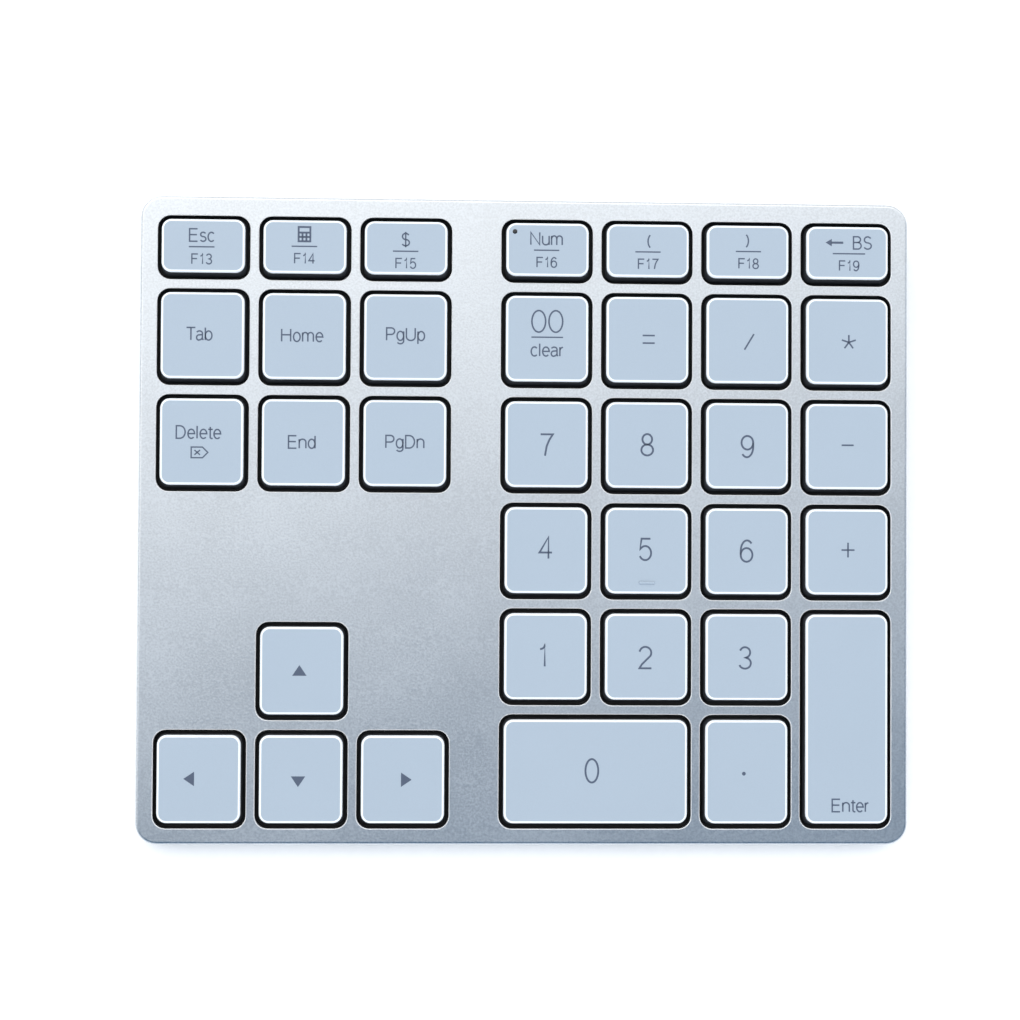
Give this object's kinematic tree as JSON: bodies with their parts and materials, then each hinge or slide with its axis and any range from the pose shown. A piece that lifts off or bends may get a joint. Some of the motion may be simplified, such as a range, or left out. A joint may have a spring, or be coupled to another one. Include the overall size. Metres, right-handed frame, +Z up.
{
  "type": "numeric keypad",
  "caption": "Low wedge-shaped wireless numeric keypad with separate scissor keys, a navigation cluster and an arrow cluster in a satin aluminium case.",
  "frame": {"origin": "on the table under the middle of the case, at the height of the feet's undersides", "axes": "+X to the user's right along the long side, +Y away from the user, +Z up"},
  "size_m": [0.1458, 0.1218, 0.0134],
  "materials": {
    "case_aluminium": "satin",
    "keycap_plastic": "satin",
    "legend_print": "matte",
    "cover_plastic": "matte",
    "steel": "satin",
    "membrane_film": "gloss",
    "dome_silicone": "matte",
    "circuit_board": "satin",
    "battery_foil": "satin",
    "black_plastic": "matte",
    "foot_rubber": "matte",
    "lens_plastic": "gloss",
    "led_plastic": "gloss"
  },
  "bodies": {
    "case": {"top_case": "case_aluminium", "bottom_cover": "cover_plastic", "key_support_plate": "steel", "membrane_circuit": "membrane_film", "dome_sheet": "dome_silicone", "num_led": "led_plastic", "controller_board": "circuit_board", "battery": "battery_foil", "usb_port_shell": "steel", "usb_port_tongue": "black_plastic", "power_switch_body": "black_plastic", "pairing_tact_switch": "black_plastic", "rubber_foot_front_left": "foot_rubber", "cover_screw_front_left": "steel", "rubber_foot_rear_left": "foot_rubber", "cover_screw_rear_left": "steel", "rubber_foot_front_right": "foot_rubber", "cover_screw_front_right": "steel", "rubber_foot_rear_right": "foot_rubber", "cover_screw_rear_right": "steel"},
    "key_esc": {"key_esc": "keycap_plastic"},
    "key_calculator": {"key_calculator": "keycap_plastic"},
    "key_currency": {"key_currency": "keycap_plastic"},
    "key_num": {"key_num": "keycap_plastic", "num_led_lens": "lens_plastic"},
    "key_paren_left": {"key_paren_left": "keycap_plastic"},
    "key_paren_right": {"key_paren_right": "keycap_plastic"},
    "key_backspace": {"key_backspace": "keycap_plastic"},
    "key_tab": {"key_tab": "keycap_plastic"},
    "key_home": {"key_home": "keycap_plastic"},
    "key_page_up": {"key_page_up": "keycap_plastic"},
    "key_double_zero": {"key_double_zero": "keycap_plastic"},
    "key_equals": {"key_equals": "keycap_plastic"},
    "key_divide": {"key_divide": "keycap_plastic"},
    "key_multiply": {"key_multiply": "keycap_plastic"},
    "key_delete": {"key_delete": "keycap_plastic"},
    "key_end": {"key_end": "keycap_plastic"},
    "key_page_down": {"key_page_down": "keycap_plastic"},
    "key_7": {"key_7": "keycap_plastic"},
    "key_8": {"key_8": "keycap_plastic"},
    "key_9": {"key_9": "keycap_plastic"},
    "key_minus": {"key_minus": "keycap_plastic"},
    "key_4": {"key_4": "keycap_plastic"},
    "key_5": {"key_5": "keycap_plastic"},
    "key_6": {"key_6": "keycap_plastic"},
    "key_plus": {"key_plus": "keycap_plastic"},
    "key_1": {"key_1": "keycap_plastic"},
    "key_2": {"key_2": "keycap_plastic"},
    "key_3": {"key_3": "keycap_plastic"},
    "key_enter": {"key_enter": "keycap_plastic"},
    "key_0": {"key_0": "keycap_plastic"},
    "key_decimal": {"key_decimal": "keycap_plastic"},
    "key_arrow_left": {"key_arrow_left": "keycap_plastic"},
    "key_arrow_down": {"key_arrow_down": "keycap_plastic"},
    "key_arrow_right": {"key_arrow_right": "keycap_plastic"},
    "key_arrow_up": {"key_arrow_up": "keycap_plastic"},
    "stabilizer_bar_0": {"stabilizer_bar_0": "steel"},
    "stabilizer_bar_enter": {"stabilizer_bar_enter": "steel"},
    "power_switch_knob": {"power_switch_knob": "black_plastic"},
    "pairing_button": {"pairing_button": "cover_plastic"}
  },
  "joints": [
    {"name": "key_esc_press", "type": "slide", "parent": "case", "child": "key_esc", "axis": [0, 0.0426, -0.9991], "range_m": [0, 0.0015], "stiffness_N_per_m": 300, "springref_m": -0.0003, "deforming": ["dome_sheet"]},
    {"name": "key_calculator_press", "type": "slide", "parent": "case", "child": "key_calculator", "axis": [0, 0.0426, -0.9991], "range_m": [0, 0.0015], "stiffness_N_per_m": 300, "springref_m": -0.0003, "deforming": ["dome_sheet"]},
    {"name": "key_currency_press", "type": "slide", "parent": "case", "child": "key_currency", "axis": [0, 0.0426, -0.9991], "range_m": [0, 0.0015], "stiffness_N_per_m": 300, "springref_m": -0.0003, "deforming": ["dome_sheet"]},
    {"name": "key_num_press", "type": "slide", "parent": "case", "child": "key_num", "axis": [0, 0.0426, -0.9991], "range_m": [0, 0.0015], "stiffness_N_per_m": 300, "springref_m": -0.0003, "deforming": ["dome_sheet"]},
    {"name": "key_paren_left_press", "type": "slide", "parent": "case", "child": "key_paren_left", "axis": [0, 0.0426, -0.9991], "range_m": [0, 0.0015], "stiffness_N_per_m": 300, "springref_m": -0.0003, "deforming": ["dome_sheet"]},
    {"name": "key_paren_right_press", "type": "slide", "parent": "case", "child": "key_paren_right", "axis": [0, 0.0426, -0.9991], "range_m": [0, 0.0015], "stiffness_N_per_m": 300, "springref_m": -0.0003, "deforming": ["dome_sheet"]},
    {"name": "key_backspace_press", "type": "slide", "parent": "case", "child": "key_backspace", "axis": [0, 0.0426, -0.9991], "range_m": [0, 0.0015], "stiffness_N_per_m": 300, "springref_m": -0.0003, "deforming": ["dome_sheet"]},
    {"name": "key_tab_press", "type": "slide", "parent": "case", "child": "key_tab", "axis": [0, 0.0426, -0.9991], "range_m": [0, 0.0015], "stiffness_N_per_m": 300, "springref_m": -0.0003, "deforming": ["dome_sheet"]},
    {"name": "key_home_press", "type": "slide", "parent": "case", "child": "key_home", "axis": [0, 0.0426, -0.9991], "range_m": [0, 0.0015], "stiffness_N_per_m": 300, "springref_m": -0.0003, "deforming": ["dome_sheet"]},
    {"name": "key_page_up_press", "type": "slide", "parent": "case", "child": "key_page_up", "axis": [0, 0.0426, -0.9991], "range_m": [0, 0.0015], "stiffness_N_per_m": 300, "springref_m": -0.0003, "deforming": ["dome_sheet"]},
    {"name": "key_double_zero_press", "type": "slide", "parent": "case", "child": "key_double_zero", "axis": [0, 0.0426, -0.9991], "range_m": [0, 0.0015], "stiffness_N_per_m": 300, "springref_m": -0.0003, "deforming": ["dome_sheet"]},
    {"name": "key_equals_press", "type": "slide", "parent": "case", "child": "key_equals", "axis": [0, 0.0426, -0.9991], "range_m": [0, 0.0015], "stiffness_N_per_m": 300, "springref_m": -0.0003, "deforming": ["dome_sheet"]},
    {"name": "key_divide_press", "type": "slide", "parent": "case", "child": "key_divide", "axis": [0, 0.0426, -0.9991], "range_m": [0, 0.0015], "stiffness_N_per_m": 300, "springref_m": -0.0003, "deforming": ["dome_sheet"]},
    {"name": "key_multiply_press", "type": "slide", "parent": "case", "child": "key_multiply", "axis": [0, 0.0426, -0.9991], "range_m": [0, 0.0015], "stiffness_N_per_m": 300, "springref_m": -0.0003, "deforming": ["dome_sheet"]},
    {"name": "key_delete_press", "type": "slide", "parent": "case", "child": "key_delete", "axis": [0, 0.0426, -0.9991], "range_m": [0, 0.0015], "stiffness_N_per_m": 300, "springref_m": -0.0003, "deforming": ["dome_sheet"]},
    {"name": "key_end_press", "type": "slide", "parent": "case", "child": "key_end", "axis": [0, 0.0426, -0.9991], "range_m": [0, 0.0015], "stiffness_N_per_m": 300, "springref_m": -0.0003, "deforming": ["dome_sheet"]},
    {"name": "key_page_down_press", "type": "slide", "parent": "case", "child": "key_page_down", "axis": [0, 0.0426, -0.9991], "range_m": [0, 0.0015], "stiffness_N_per_m": 300, "springref_m": -0.0003, "deforming": ["dome_sheet"]},
    {"name": "key_7_press", "type": "slide", "parent": "case", "child": "key_7", "axis": [0, 0.0426, -0.9991], "range_m": [0, 0.0015], "stiffness_N_per_m": 300, "springref_m": -0.0003, "deforming": ["dome_sheet"]},
    {"name": "key_8_press", "type": "slide", "parent": "case", "child": "key_8", "axis": [0, 0.0426, -0.9991], "range_m": [0, 0.0015], "stiffness_N_per_m": 300, "springref_m": -0.0003, "deforming": ["dome_sheet"]},
    {"name": "key_9_press", "type": "slide", "parent": "case", "child": "key_9", "axis": [0, 0.0426, -0.9991], "range_m": [0, 0.0015], "stiffness_N_per_m": 300, "springref_m": -0.0003, "deforming": ["dome_sheet"]},
    {"name": "key_minus_press", "type": "slide", "parent": "case", "child": "key_minus", "axis": [0, 0.0426, -0.9991], "range_m": [0, 0.0015], "stiffness_N_per_m": 300, "springref_m": -0.0003, "deforming": ["dome_sheet"]},
    {"name": "key_4_press", "type": "slide", "parent": "case", "child": "key_4", "axis": [0, 0.0426, -0.9991], "range_m": [0, 0.0015], "stiffness_N_per_m": 300, "springref_m": -0.0003, "deforming": ["dome_sheet"]},
    {"name": "key_5_press", "type": "slide", "parent": "case", "child": "key_5", "axis": [0, 0.0426, -0.9991], "range_m": [0, 0.0015], "stiffness_N_per_m": 300, "springref_m": -0.0003, "deforming": ["dome_sheet"]},
    {"name": "key_6_press", "type": "slide", "parent": "case", "child": "key_6", "axis": [0, 0.0426, -0.9991], "range_m": [0, 0.0015], "stiffness_N_per_m": 300, "springref_m": -0.0003, "deforming": ["dome_sheet"]},
    {"name": "key_plus_press", "type": "slide", "parent": "case", "child": "key_plus", "axis": [0, 0.0426, -0.9991], "range_m": [0, 0.0015], "stiffness_N_per_m": 300, "springref_m": -0.0003, "deforming": ["dome_sheet"]},
    {"name": "key_1_press", "type": "slide", "parent": "case", "child": "key_1", "axis": [0, 0.0426, -0.9991], "range_m": [0, 0.0015], "stiffness_N_per_m": 300, "springref_m": -0.0003, "deforming": ["dome_sheet"]},
    {"name": "key_2_press", "type": "slide", "parent": "case", "child": "key_2", "axis": [0, 0.0426, -0.9991], "range_m": [0, 0.0015], "stiffness_N_per_m": 300, "springref_m": -0.0003, "deforming": ["dome_sheet"]},
    {"name": "key_3_press", "type": "slide", "parent": "case", "child": "key_3", "axis": [0, 0.0426, -0.9991], "range_m": [0, 0.0015], "stiffness_N_per_m": 300, "springref_m": -0.0003, "deforming": ["dome_sheet"]},
    {"name": "key_enter_press", "type": "slide", "parent": "case", "child": "key_enter", "axis": [0, 0.0426, -0.9991], "range_m": [0, 0.0015], "stiffness_N_per_m": 300, "springref_m": -0.0003, "deforming": ["dome_sheet"]},
    {"name": "key_0_press", "type": "slide", "parent": "case", "child": "key_0", "axis": [0, 0.0426, -0.9991], "range_m": [0, 0.0015], "stiffness_N_per_m": 300, "springref_m": -0.0003, "deforming": ["dome_sheet"]},
    {"name": "key_decimal_press", "type": "slide", "parent": "case", "child": "key_decimal", "axis": [0, 0.0426, -0.9991], "range_m": [0, 0.0015], "stiffness_N_per_m": 300, "springref_m": -0.0003, "deforming": ["dome_sheet"]},
    {"name": "key_arrow_left_press", "type": "slide", "parent": "case", "child": "key_arrow_left", "axis": [0, 0.0426, -0.9991], "range_m": [0, 0.0015], "stiffness_N_per_m": 300, "springref_m": -0.0003, "deforming": ["dome_sheet"]},
    {"name": "key_arrow_down_press", "type": "slide", "parent": "case", "child": "key_arrow_down", "axis": [0, 0.0426, -0.9991], "range_m": [0, 0.0015], "stiffness_N_per_m": 300, "springref_m": -0.0003, "deforming": ["dome_sheet"]},
    {"name": "key_arrow_right_press", "type": "slide", "parent": "case", "child": "key_arrow_right", "axis": [0, 0.0426, -0.9991], "range_m": [0, 0.0015], "stiffness_N_per_m": 300, "springref_m": -0.0003, "deforming": ["dome_sheet"]},
    {"name": "key_arrow_up_press", "type": "slide", "parent": "case", "child": "key_arrow_up", "axis": [0, 0.0426, -0.9991], "range_m": [0, 0.0015], "stiffness_N_per_m": 300, "springref_m": -0.0003, "deforming": ["dome_sheet"]},
    {"name": "stabilizer_bar_0_turn", "type": "hinge", "parent": "case", "child": "stabilizer_bar_0", "pos_m": [0.01337, -0.04227, 0.00494], "axis": [1, 0, 0], "range_deg": [0, 10.6]},
    {"name": "stabilizer_bar_enter_turn", "type": "hinge", "parent": "case", "child": "stabilizer_bar_enter", "pos_m": [0.0654, -0.03707, 0.00517], "axis": [0, -0.9991, -0.0426], "range_deg": [0, 10.6]},
    {"name": "power_switch_slide", "type": "slide", "parent": "case", "child": "power_switch_knob", "axis": [1, 0, 0], "range_m": [0, 0.002]},
    {"name": "pairing_button_press", "type": "slide", "parent": "case", "child": "pairing_button", "axis": [0, -1, 0], "range_m": [0, 0.0004], "stiffness_N_per_m": 800, "springref_m": -0.0002}
  ],
  "couplings": [
    {"joint": "stabilizer_bar_0_turn", "follows": "key_0_press", "rad_per_m": 122},
    {"joint": "stabilizer_bar_enter_turn", "follows": "key_enter_press", "rad_per_m": 122}
  ]
}
